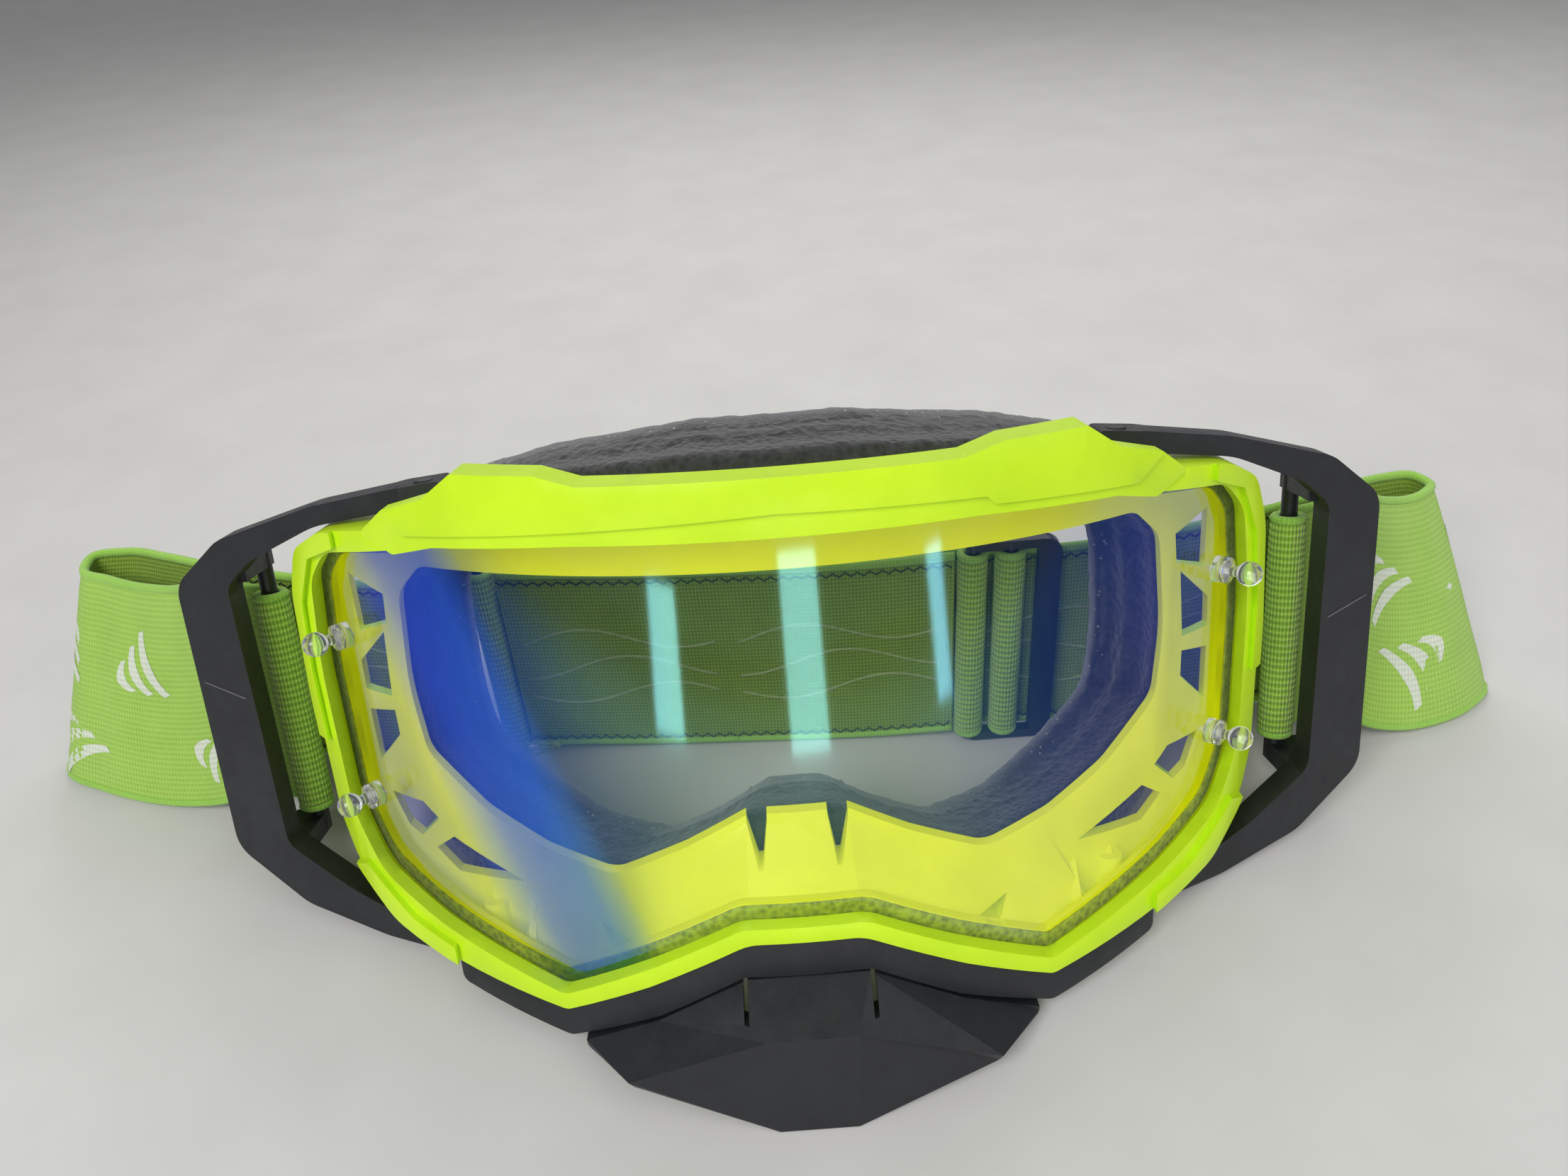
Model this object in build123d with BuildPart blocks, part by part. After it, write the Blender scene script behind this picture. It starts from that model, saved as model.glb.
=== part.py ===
"""Motocross goggles with pivoting outriggers and an elastic strap, lying as they rest on a table.

The eyepiece is drawn upright in its own frame: x to the right as seen from the front, y towards
the face, z up, with the origin on the lens's outer surface at mid-height. It is then leaned back
onto its nose guard. The loose strap is drawn straight in the table frame. All sizes are in mm.
"""

import os
from math import cos, radians, sin, sqrt

from build123d import *

# ---- driving dimensions ------------------------------------------------------------------
LENS_R = 110.0            # radius of the lens's outer surface about an upright axis
LENS_THICKNESS = 1.0
LENS_OVERLAP = 0.8        # how far the lens reaches under the rim's lip
RIM_PROUD = 3.0           # front of the rim before the lens surface
RIM_STRIP = 1.1           # extra height of the raised strip round the rim's upper sides
WALL = 1.6                # thickness of the frame's outer wall
SEAT_FRONT = 1.6          # depth of the lens seat behind the lens surface
SEAT_BACK = 3.4
PLATE_R = 112.0           # curvature of the face plate
PLATE_FRONT = 9.5         # depth of the face plate at the centre
PLATE_BACK = 12.0
BROW_STEP = 3.4           # front of the brow's lower lip before the lens surface
BROW_PROUD = 4.3          # front of the brow's upper panel
BAND_PROUD = 2.0          # front of the lower trim band
FOAM_DEPTHS = (12.1, 18.0, 24.0, 29.0)   # front of each foam layer, and the back of the last
FOAM_RADII = (112.0, 106.0, 100.0, 96.0)
POST_X, POST_Z = 75.6, 15.4              # where the tear-off posts stand on the lens
PIVOT_X, PIVOT_Y = 56.0, 23.8            # upright pivot axis of each outrigger
PIN_R = 1.5
PIN_PLAY = 0.06           # radial running clearance of the outrigger on its pins
UPPER_PIN = (39.0, 7.6)   # height of each pin's middle, and its length
LOWER_PIN = (-42.3, 8.8)
BOSS_R = 2.3              # the frame's bosses that hold the pins
BOSS_FIT = 0.02           # radial play of a pin in its boss
ROD_X, ROD_Y, ROD_R = 97.0, 50.0, 1.5    # the outrigger's strap rod
END_BOTTOM = -27.0        # lower edge of the webbing rolled round the rod
END_ROLL_R = 3.3
STRAP_WIDTH = 45.0
STRAP_THICK = 1.6
LEAN = 20.0               # degrees that the eyepiece leans back when it rests
TIP_Y, TIP_Z = -9.8, -61.3               # front corner of the nose guard's foot
RUN_LEAN = 5.0            # degrees that the strap's rear run leans back
GAP = 0.1                 # clearance between neighbours that do not move

REACH = 90.0              # half height of a cutting block
FRONT = Plane.XZ.offset(20)              # drawing plane before the goggles
DEPTH = 130.0             # how far a drawn outline is carried back

# ---- outlines: right half, from top centre to bottom centre, as (x, z, corner radius) -----
RIM = [(48, 41.3, 2), (52, 38.9, 2), (60, 37.2, 6), (75, 35.3, 9), (82.5, 31, 7), (86.2, 22, 20),
       (87.5, 2, 60), (86.9, -23, 12), (84, -30.8, 8), (75, -38.2, 9), (63, -41.6, 10),
       (41.3, -46, 2.5), (26, -39.2, 12), (9.2, -30.8, 8)]
LENS = [(50, 36.6, 4), (60, 33.9, 8), (75, 31.6, 7), (80.4, 25.5, 9), (82.8, 8, 60), (82.2, -20, 16),
        (76.5, -29.8, 8), (63.5, -35.4, 12), (41.3, -43, 3), (24.5, -35.2, 10), (10, -28, 7)]
EYE = [(60.5, 27.5, 4), (66, 22, 6), (67.6, 4, 40), (66, -8.5, 5), (55, -17.5, 10), (44, -23, 8),
       (32, -26.5, 6), (18.8, -20.3, 9), (8.3, -14.4, 1)]
BROW = [(27.5, 44.9, 1), (33.5, 46.6, 1), (46.5, 46.8, 1), (52, 42.9, 1), (60.3, 40.4, 1),
        (65.6, 36.3, 0.8), (59.5, 33.4, 1), (52, 35.1, 2), (30, 36, 4)]
BAND = [(62, -25, 1), (62, -47, 1.5), (41.5, -52.1, 2.5), (25, -45.6, 6), (10.4, -37.6, 3)]
FOAM_TOPS = [                            # top of each foam layer, rising towards the face
    [(12, 45.8, 8), (36, 43.8, 12), (52, 38.4, 12)],
    [(12, 47.3, 8), (36, 44.8, 12), (52, 40.6, 12)],
    [(12, 48.7, 8), (36, 45.4, 14), (52, 41, 12)],
]
FOAM_SIDES = [(64, 31, 9), (70.5, 18, 14), (71, -14, 14), (67.5, -27, 8), (58, -37.5, 8),
              (45, -42, 6), (31, -40.6, 6), (19, -33, 8), (7.5, -23.5, 4)]
FOAM_INNER = [
    [(60, 27, 4), (65.5, 21, 6), (67, 3, 40), (65.4, -9.5, 5), (54.5, -18, 8), (43, -23.5, 7),
     (30, -27, 5), (18, -22, 6), (7, -15.6, 2)],
    [(58, 27, 5), (62, 20, 6), (63, 2, 30), (61, -11, 6), (50, -19.5, 9), (40, -24.2, 7),
     (27, -27, 5), (16, -22.6, 6), (6, -16.4, 2)],
    [(55, 26, 6), (58, 18, 8), (58.6, 2, 30), (57, -11.5, 8), (45, -19.5, 9), (35, -25, 7),
     (24, -27.4, 5), (14, -22.6, 5), (5, -17, 2)],
]
WINDOWS = [
    [(78, 23.5), (69.8, 21), (70.3, 15.5), (77.8, 12.4)],
    [(71.4, 13.6), (79.2, 6), (79.4, 0.2), (72.4, 0.8)],
    [(79.4, -4), (72.4, -2), (72.3, -7), (79.2, -14.5)],
    [(77.6, -20.6), (69.6, -19.8), (66.4, -22.3), (71.4, -27.6), (74.4, -26.6)],
    [(68.2, -29), (63.5, -25.2), (49.5, -30.6), (63.5, -32.4)],
]
RAISED_STRIP = [(72, 42), (92, 42), (92, -6), (84.6, -6), (84.9, 8), (83.4, 21), (79, 30), (72, 33)]
SOCKET_PAD = [(61.5, -38.4), (70, -35.8), (80, -29), (86, -32), (77, -42), (61.5, -45)]

# The outrigger: its front outline, and its thickness seen from above.
OUTRIGGER = [(52.4, 42.9, 1), (60, 42.2, 8), (77, 38.8, 30), (98, 32.2, 9), (109.2, 23.4, 6),
             (109.8, -30.6, 6), (96, -40.8, 9), (79, -45, 18), (60, -46.8, 3), (52.4, -46.8, 1),
             (52.4, -44.1, 1), (62, -43.6, 4), (73, -40.9, 10), (85, -35.9, 12), (97.6, -28.2, 4),
             (97.9, 23.6, 4), (92, 28.6, 10), (77, 35.4, 20), (60, 38.6, 8), (52.4, 39.2, 1)]
OUTRIGGER_PLAN = [(52.4, 21), (59.5, 21), (63, 22.6), (113, 42.4), (111, 47.6), (62, 28.2), (52.4, 28)]

# The strap in the table frame: x, y of its lower edge and of its upper edge, outrigger first.
STRAP_RIGHT_LOW = [(113.6, 76.6), (122, 75.6), (133, 76.5), (146, 81), (152.6, 87), (150, 92.6),
                   (139, 93.4), (122, 91), (103, 88.6), (80, 87.4), (58, 87.8), (30, 89.6),
                   (0, 91.6), (-30, 92.6), (-57.4, 92.6)]
STRAP_RIGHT_HIGH = [(113.6, 92), (122, 95.8), (129, 98.6), (134, 101), (136.6, 104), (134.8, 107.4),
                    (128, 107.6), (115, 103.4), (102, 99.6), (80, 94.6), (58, 91.8), (30, 93.6),
                    (0, 95.6), (-30, 96.6), (-57.4, 96.6)]
STRAP_LEFT_LOW = [(-113.6, 76.6), (-122, 78.6), (-136, 81.4), (-153, 87.4), (-163.6, 93.6),
                  (-164.6, 99.4), (-155, 102), (-138, 101.4), (-121, 98.4), (-106, 94.4),
                  (-90, 92), (-72.6, 91.2)]
STRAP_LEFT_HIGH = [(-113.6, 92), (-122, 96.8), (-132, 101.4), (-142, 106), (-148.6, 109.8),
                   (-149, 114.6), (-142, 115.8), (-132, 112.6), (-119, 107.2), (-104, 102.2),
                   (-88, 97.6), (-72.6, 95.2)]
STRAP_START_DROP = [7.6, 2.6, 0.3]       # the lower edge comes down to the table from the roll
RETURN_LOW = [(-57.4, 89.6), (-30, 88.6), (0, 87.3), (20, 85.8), (34.4, 84.4)]
RUN_Y = 83.8              # where the buckles stand, in the table frame
BUCKLE_HEIGHT = 50.0
ADJUSTER_X = (38.0, 45.5, 53.5)          # the adjuster's two bars and its broad side
RING_X = (-69.0, -61.0)                  # the joining ring's two bars
RING_BACK = 7.2           # how far the joining ring stands behind the adjuster
BAR_R = 1.3
ROLL_PLAY = 0.15          # between a bar and the webbing rolled round it
RAIL_MARGIN = 0.25        # how far a buckle's rails reach past its outermost bar
ROLL_R = 3.0              # outside radius of webbing wrapped round a bar
ROLL_RISE = 2.8           # the webbing's lower edge inside a buckle, above the table
RETURN_RISE = [2.6, 1, 0.2, 0.8, 2.6]    # the return layer's lower edge, up into both buckles


def mirrored(half):
    """A closed outline from the corners of its right half."""
    return half + [(-corner[0],) + tuple(corner[1:]) for corner in reversed(half)]


def face_of(corners, plane=FRONT):
    """A face with rounded corners, from (x, z, radius)."""
    with BuildSketch(plane) as sketch:
        with BuildLine():
            points = [corner[:2] for corner in corners]
            FilletPolyline(*points, radius=[corner[2] for corner in corners], close=True)
        make_face()
    return sketch.sketch


def sharp_face(points, plane=FRONT):
    """A face with sharp corners."""
    with BuildSketch(plane) as sketch:
        with BuildLine():
            Polyline(*points, close=True)
        make_face()
    return sketch.sketch


def grown(face, amount):
    """The same outline, moved outwards by an amount, or inwards by a negative one."""
    with BuildSketch(FRONT) as sketch:
        add(face)
        offset(amount=amount, kind=Kind.INTERSECTION)
    return sketch.sketch


def layer(face, front, back, front_r=None, back_r=None):
    """An outline carried back and cut to the curved space between two depths."""
    front_r = front_r or LENS_R - front
    back_r = back_r or LENS_R - back
    with BuildSketch(Plane.XY.offset(-REACH)) as ring:
        with Locations((0, front + front_r)):
            Circle(front_r)
        with Locations((0, back + back_r)):
            Circle(back_r, mode=Mode.SUBTRACT)
    with BuildPart() as piece:
        extrude(face, amount=-DEPTH)
        extrude(ring.sketch, amount=2 * REACH, mode=Mode.INTERSECT)
    return piece.part


def skin(sections):
    """A closed solid through sections of equal corner count, its sides cut into triangles."""
    polygons = [list(reversed(sections[0])), sections[-1]]
    for near, far in zip(sections, sections[1:]):
        for i, corner in enumerate(near):
            j = (i + 1) % len(near)
            polygons.append([corner, near[j], far[j]])
            polygons.append([corner, far[j], far[i]])
    return Solid(Shell([Face(Wire.make_polygon(polygon)) for polygon in polygons]))


def ribbon(low, high, rises=()):
    """A length of webbing on edge: its lower edge on the table, its upper one a width above."""
    sections = []
    last = len(low) - 1
    for i, (bottom, top) in enumerate(zip(low, high)):
        before, after = max(i - 1, 0), min(i + 1, last)
        along_x = low[after][0] + high[after][0] - low[before][0] - high[before][0]
        along_y = low[after][1] + high[after][1] - low[before][1] - high[before][1]
        span = sqrt(along_x ** 2 + along_y ** 2) * 2 / STRAP_THICK
        nx, ny = -along_y / span, along_x / span
        rise = rises[i] if i < len(rises) else 0.0
        upper = rise + STRAP_WIDTH
        sections.append([
            (bottom[0] - nx, bottom[1] - ny, rise), (bottom[0] + nx, bottom[1] + ny, rise),
            (top[0] + nx, top[1] + ny, upper), (top[0] - nx, top[1] - ny, upper)])
    return skin(sections)


def post(side, height):
    """A tear-off post on the lens: two collars, a thin neck and a ball, turned about one axis."""
    lens_y = LENS_R - sqrt(LENS_R ** 2 - POST_X ** 2)
    out = Vector(side * POST_X, lens_y - LENS_R, 0).normalized()
    foot = Vector(side * POST_X, lens_y, height)
    with BuildPart() as piece:
        with BuildSketch(Plane(origin=foot, x_dir=out, z_dir=(0, 0, 1))):
            with BuildLine():
                Polyline((0.06, 0), (0.06, 2.3), (1.1, 2.3), (1.1, 1.5), (1.7, 1.5), (1.7, 2.3), (2.5, 2.3),
                         (2.9, 1.0), (4.3, 0.9), (4.3, 0), close=True)
            make_face()
        revolve(axis=Axis(foot, out))
        with Locations(foot + out * 6.0):
            Sphere(2.15)
    return piece.part


# ---- the frame ---------------------------------------------------------------------------
rim_face = face_of(mirrored(RIM))
lens_opening = face_of(mirrored(LENS))
lens_face = grown(lens_opening, LENS_OVERLAP)
brow_face = face_of(mirrored(BROW))
wall_face = rim_face - grown(rim_face, -WALL)
plate_face = rim_face - face_of(mirrored(EYE))
for window in WINDOWS:
    plate_face -= sharp_face(window) + sharp_face([(-x, z) for x, z in window])

# The nose bridge slopes from the lens seat up and back to the eye opening.
NOSE_FRONT = [(9.3, 2.2, -29.9), (26, 5.4, -38.2), (41.3, 10.2, -44.9), (52, 20, -43.2)]
NOSE_REAR = [(8.3, 10.6, -14.5), (18.8, 11.9, -20.5), (32, 15, -26.8), (42, 18.6, -24.6)]
nose_half = [[front, rear, (front[0], rear[1], front[2])] for front, rear in zip(NOSE_FRONT, NOSE_REAR)]
nose_other = [[(-x, y, z) for x, y, z in section] for section in reversed(nose_half)]
SLIT = [(5, -10), (8.5, -10), (8.4, -16), (6.9, -22.8), (6.1, -22.8), (5, -15.5)]
SMALL_VENT = [(35, -34.6), (29.6, -36.2), (33.4, -38)]

with BuildPart() as main_frame:
    add(layer(rim_face - lens_opening - grown(brow_face, GAP), -RIM_PROUD, -GAP))
    add(layer(wall_face, -GAP, PLATE_BACK, back_r=PLATE_R))
    add(layer(grown(rim_face, -WALL / 2) - grown(lens_opening, -1.8), SEAT_FRONT, SEAT_BACK))
    add(layer(plate_face, PLATE_FRONT, PLATE_BACK, PLATE_R, PLATE_R))
    raised = sharp_face(RAISED_STRIP) + sharp_face([(-x, z) for x, z in RAISED_STRIP])
    add(layer(raised & rim_face, -RIM_PROUD - RIM_STRIP, -RIM_PROUD + GAP))
    pads = sharp_face(SOCKET_PAD) + sharp_face([(-x, z) for x, z in SOCKET_PAD])
    add(layer((pads & rim_face) - lens_opening, -RIM_PROUD - 1.3, -RIM_PROUD + GAP))
    add(Solid.make_loft([Wire.make_polygon(section) for section in nose_other + nose_half], ruled=True))
    for side in (-1, 1):
        with BuildSketch(FRONT):
            with BuildLine():
                Polyline(*[(side * x, z) for x, z in SLIT], close=True)
            make_face()
            with BuildLine():
                Polyline(*[(side * x, z) for x, z in SMALL_VENT], close=True)
            make_face()
        extrude(amount=-DEPTH / 2, mode=Mode.SUBTRACT)
    # stiffening ribs on the floor under the lowest windows
    for side in (-1, 1):
        for rib_x, low, high in ((48.5, -43, -33.5), (56, -41.5, -34)):
            with BuildSketch(Plane.YZ.offset(side * rib_x)) as rib:
                rib_y = PLATE_FRONT + PLATE_R - sqrt(PLATE_R ** 2 - rib_x ** 2) + 0.8
                with BuildLine():
                    Polyline((rib_y, low), (rib_y - 8, low), (rib_y, high), close=True)
                make_face()
            extrude(amount=0.6, both=True)
    # bosses for the outrigger pins, and their bores
    with Locations((PIVOT_X, PIVOT_Y, 36), (-PIVOT_X, PIVOT_Y, 36)):
        Cylinder(BOSS_R, 5.4)
    with Locations((PIVOT_X, PIVOT_Y, -39), (-PIVOT_X, PIVOT_Y, -39)):
        Cylinder(BOSS_R, 7)
    with Locations((PIVOT_X, PIVOT_Y, 38), (-PIVOT_X, PIVOT_Y, 38)):
        Cylinder(PIN_R + BOSS_FIT, 8, mode=Mode.SUBTRACT)
    with Locations((PIVOT_X, PIVOT_Y, -42), (-PIVOT_X, PIVOT_Y, -42)):
        Cylinder(PIN_R + BOSS_FIT, 9, mode=Mode.SUBTRACT)

# ---- the lens, its gasket and its four tear-off posts --------------------------------------
with BuildPart() as lens:
    add(layer(lens_face, 0, LENS_THICKNESS))

with BuildPart() as lens_gasket:
    add(layer(lens_face - grown(lens_opening, -1.6), LENS_THICKNESS + 0.05, SEAT_FRONT - 0.05))

posts = {}
for side, side_name in ((-1, "left"), (1, "right")):
    for height, height_name in ((POST_Z, "upper"), (-POST_Z, "lower")):
        posts[f"tear_off_post_{height_name}_{side_name}"] = post(side, height)

# ---- the brow cover: a lower lip, a raised panel with a step on the right, a top flange -------
BROW_PANEL = [(-60, 40.2), (-52, 42.9), (-46.5, 46.8), (-33.5, 46.6), (-27.5, 44.9),
              (27.5, 44.9), (33.5, 46.6), (46.5, 46.8), (52, 42.9), (60, 40.2), (55.5, 36.6),
              (32, 37.6), (30.6, 38.9), (0, 39.7), (-56.8, 36.9)]
FLANGE_UNDERSIDE = 41.5   # the flange lies on top of the frame's upper wall
FLANGE_DEPTH = 3.2
FLANGE_WIDTH = 94.0

with BuildPart() as brow_cover:
    add(layer(brow_face, -BROW_STEP, -2 * GAP))
    add(layer(sharp_face(BROW_PANEL) & brow_face, -BROW_PROUD, -BROW_STEP + GAP))
    with BuildSketch(FRONT) as flange:
        add(brow_face)
        with Locations((0, FLANGE_UNDERSIDE + FLANGE_WIDTH / 2)):
            Rectangle(FLANGE_WIDTH, FLANGE_WIDTH, mode=Mode.INTERSECT)
    add(layer(flange.sketch, -3 * GAP, FLANGE_DEPTH))

# ---- the lower trim band and the faceted nose guard ------------------------------------------
with BuildPart() as lower_trim_band:
    add(layer(face_of(mirrored(BAND)) - grown(rim_face, GAP), -BAND_PROUD, 1.0))

# Sections of the guard at half width, quarter width and the middle panel: top, crease and
# foot of the outside, then the same three of the inside.
foot_rise = 3.2 * sin(radians(LEAN)) / cos(radians(LEAN))
GUARD = [
    [(38.6, 3.7, -51.6), (38.6, 4.1, -52.8), (38.6, 4.9, -54), (38.6, 7.3, -53.4), (38.6, 6.6, -52.5),
     (38.6, 6.2, -51.5)],
    [(25.6, 0.8, -46.5), (30.6, -5.6, -53.2), (30, -4.4, -55), (28.4, -1.4, -54), (28.6, -2.4, -52.4),
     (24.6, 3.4, -46.2)],
    [(9.9, -1.6, -38), (7.3, TIP_Y, -43.9), (6.4, TIP_Y, TIP_Z), (6.0, TIP_Y + 3.2, TIP_Z + foot_rise),
     (6.8, TIP_Y + 2.7, -45), (9.3, 1.6, -38.1)],
]
guard_other = [[(-x, y, z) for x, y, z in section] for section in GUARD]
with BuildPart() as nose_guard:
    add(skin(guard_other + list(reversed(GUARD))))
    for slot_x in (-10.4, 10.4):
        with Locations((slot_x, -3, -40)):
            Box(0.8, 12, 6, mode=Mode.SUBTRACT)

# ---- the outriggers, their strap rods and pivot pins -----------------------------------------
with BuildPart() as outrigger_right:
    extrude(face_of(OUTRIGGER), amount=-DEPTH)
    with BuildSketch(Plane.XY.offset(-REACH)):
        with BuildLine():
            Polyline(*OUTRIGGER_PLAN, close=True)
        make_face()
    extrude(amount=2 * REACH, mode=Mode.INTERSECT)
    with Locations((99, 46, 25.4), (99, 46, -31)):
        Box(6.4, 12, 4)
    with Locations((ROD_X, ROD_Y, -3)):
        Cylinder(ROD_R, 58)
    with Locations((PIVOT_X, PIVOT_Y, 0)):
        Cylinder(PIN_R + PIN_PLAY, 2 * REACH, mode=Mode.SUBTRACT)

with BuildPart() as outrigger_left:
    mirror(outrigger_right.part, about=Plane.YZ)

pins = {}
for side, side_name in ((-1, "left"), (1, "right")):
    with BuildPart() as upper_pin:
        with Locations((side * PIVOT_X, PIVOT_Y, UPPER_PIN[0])):
            Cylinder(PIN_R, UPPER_PIN[1])
    with BuildPart() as lower_pin:
        with Locations((side * PIVOT_X, PIVOT_Y, LOWER_PIN[0])):
            Cylinder(PIN_R, LOWER_PIN[1])
    pins[f"pivot_pin_upper_{side_name}"] = upper_pin.part
    pins[f"pivot_pin_lower_{side_name}"] = lower_pin.part

# ---- the face foam: three layers, and thin vent foam behind the lower windows --------------------
foam_layers = {}
for i, foam_name in enumerate(("foam_base", "foam_middle", "foam_fleece")):
    cut = face_of(mirrored(FOAM_TOPS[i] + FOAM_SIDES)) - face_of(mirrored(FOAM_INNER[i]))
    foam_layers[foam_name] = layer(
        cut, FOAM_DEPTHS[i], FOAM_DEPTHS[i + 1] - 0.05, FOAM_RADII[i], FOAM_RADII[i + 1])

# ---- the strap ends, rolled round the outriggers' rods and sewn --------------------------------
with BuildPart() as strap_end_right:
    with BuildSketch(Plane.XY.offset(END_BOTTOM)):
        with Locations((ROD_X, ROD_Y)):
            Circle(END_ROLL_R)
        with BuildLine():
            Polyline((ROD_X + 0.6, ROD_Y + 1), (112.8, 57.7), (111.9, 59.8),
                     (ROD_X - 0.3, ROD_Y + 3.2), close=True)
        make_face()
        with Locations((ROD_X, ROD_Y)):
            Circle(ROD_R + ROLL_PLAY, mode=Mode.SUBTRACT)
    extrude(amount=STRAP_WIDTH)

with BuildPart() as strap_end_left:
    mirror(strap_end_right.part, about=Plane.YZ)

# ---- the strap's long parts, in the table frame ---------------------------------------------------
with BuildPart() as strap_right:
    add(ribbon(STRAP_RIGHT_LOW, STRAP_RIGHT_HIGH, STRAP_START_DROP))

with BuildPart() as strap_left:
    add(ribbon(STRAP_LEFT_LOW, STRAP_LEFT_HIGH, STRAP_START_DROP))

RUN_BACK = STRAP_WIDTH * sin(radians(RUN_LEAN))
with BuildPart() as strap_return:
    add(ribbon(RETURN_LOW, [(x, y + RUN_BACK) for x, y in RETURN_LOW], RETURN_RISE))

# The buckles stand in the run and lean with it. Each is drawn on the run's own leaning plane.
run_front = Plane(origin=(0, RUN_Y, 0), x_dir=(1, 0, 0),
                  z_dir=(0, -cos(radians(RUN_LEAN)), sin(radians(RUN_LEAN))))
run_top = Plane(origin=(0, RUN_Y, 0), x_dir=(1, 0, 0),
                z_dir=(0, sin(radians(RUN_LEAN)), cos(radians(RUN_LEAN))))


def buckle(bars, right, broad_side, back):
    """A flat moulded buckle: two rails, a broad side where it has one, and upright round bars."""
    left = bars[0] - BAR_R - RAIL_MARGIN
    middle = BUCKLE_HEIGHT / 2 + 0.4
    with BuildPart() as piece:
        with BuildSketch(run_front.offset(-back)):
            with Locations(((left + right) / 2, middle)):
                RectangleRounded(right - left, BUCKLE_HEIGHT, 1.2 + broad_side / 2)
            with Locations(((left + right) / 2 - broad_side, middle)):
                Rectangle(right - left, BUCKLE_HEIGHT - 4, mode=Mode.SUBTRACT)
        extrude(amount=1.2, both=True)
        with BuildSketch(run_top.offset(1)):
            with Locations(*[(bar, back) for bar in bars]):
                Circle(BAR_R)
        extrude(amount=BUCKLE_HEIGHT - 1.2)
    return piece.part


def roll(bar, back):
    """Webbing wrapped once round a buckle's bar."""
    with BuildPart() as piece:
        with BuildSketch(run_top.offset(ROLL_RISE)):
            with Locations((bar, back)):
                Circle(ROLL_R)
                Circle(BAR_R + ROLL_PLAY, mode=Mode.SUBTRACT)
        extrude(amount=STRAP_WIDTH)
    return piece.part


EYEPIECE = {
    "main_frame": main_frame.part, "lens": lens.part, "lens_gasket": lens_gasket.part,
    "brow_cover": brow_cover.part, "lower_trim_band": lower_trim_band.part,
    "nose_guard": nose_guard.part, "outrigger_right": outrigger_right.part,
    "outrigger_left": outrigger_left.part, "strap_end_right": strap_end_right.part,
    "strap_end_left": strap_end_left.part, **posts, **pins, **foam_layers}

LOOSE = {"strap_right": strap_right.part, "strap_left": strap_left.part, "strap_return": strap_return.part}

LOOSE["strap_adjuster"] = buckle(ADJUSTER_X[:2], ADJUSTER_X[2] + 2, 4.5, 0)
LOOSE["joining_ring"] = buckle(RING_X, RING_X[1] + BAR_R + RAIL_MARGIN, 0, RING_BACK)
LOOSE["strap_wrap_right"] = roll(ADJUSTER_X[1], 0)
LOOSE["strap_return_loop"] = roll(ADJUSTER_X[0], 0)
LOOSE["strap_wrap_left"] = roll(RING_X[1], RING_BACK)
LOOSE["strap_left_loop"] = roll(RING_X[0], RING_BACK)

# ---- placing: lean the eyepiece back onto its foot, then put the origin under the middle ----------
lean = Location((0, 0, 0), (-LEAN, 0, 0))
foot_y = TIP_Y * cos(radians(LEAN)) + TIP_Z * sin(radians(LEAN))
foot_z = -TIP_Y * sin(radians(LEAN)) + TIP_Z * cos(radians(LEAN))
onto_table = Location((0, -foot_y, -foot_z)) * lean

placed = {name: piece.moved(onto_table) for name, piece in EYEPIECE.items()}
placed.update(LOOSE)
corners = [piece.bounding_box() for piece in placed.values()]
low = Vector(*[min(tuple(box.min)[axis] for box in corners) for axis in range(3)])
high = Vector(*[max(tuple(box.max)[axis] for box in corners) for axis in range(3)])
to_origin = Location((-(low.X + high.X) / 2, -(low.Y + high.Y) / 2, -low.Z))
print("shift to origin:", to_origin.position, "lowest before shift:", low, "size:", high - low)

os.makedirs("parts", exist_ok=True)
for name, piece in placed.items():
    piece = piece.moved(to_origin)
    piece.label = name
    export_step(piece, f"parts/{name}.step")
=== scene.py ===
"""The looks of the motocross goggles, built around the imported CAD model.

Blender's lengths are metres. Places and widths in mm are turned into them by MM, on_table and
on_eyepiece.
"""

import math
import random

import bmesh
import bpy
import numpy as np
from mathutils import Matrix, Vector, noise


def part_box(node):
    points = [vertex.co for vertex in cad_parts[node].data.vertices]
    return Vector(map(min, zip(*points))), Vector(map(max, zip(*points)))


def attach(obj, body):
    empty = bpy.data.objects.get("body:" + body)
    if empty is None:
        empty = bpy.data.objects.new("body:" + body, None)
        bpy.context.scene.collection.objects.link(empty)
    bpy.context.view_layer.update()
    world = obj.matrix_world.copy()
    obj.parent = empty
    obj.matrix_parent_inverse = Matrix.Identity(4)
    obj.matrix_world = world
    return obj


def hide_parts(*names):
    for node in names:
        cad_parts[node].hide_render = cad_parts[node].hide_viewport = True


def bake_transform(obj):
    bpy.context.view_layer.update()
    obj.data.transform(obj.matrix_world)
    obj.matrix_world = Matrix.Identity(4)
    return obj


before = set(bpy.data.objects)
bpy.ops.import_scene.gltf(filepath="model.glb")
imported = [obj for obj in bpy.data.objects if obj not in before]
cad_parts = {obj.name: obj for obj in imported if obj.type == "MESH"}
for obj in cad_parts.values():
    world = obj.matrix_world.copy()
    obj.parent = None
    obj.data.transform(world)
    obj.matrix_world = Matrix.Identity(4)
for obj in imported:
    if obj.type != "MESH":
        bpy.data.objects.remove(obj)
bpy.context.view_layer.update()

MM = 0.001
LEAN = math.radians(20)      # how far the eyepiece leans back
LENS_R = 110                 # the lens's outer radius, mm
TIP_Y, TIP_Z = -9.8, -61.3   # front of the nose guard's foot, in the eyepiece's own frame, mm
WEB_MM = 45                  # webbing width, mm
WEB_THICK = 1.5 * MM
PIPING_R = 0.95 * MM

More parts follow.
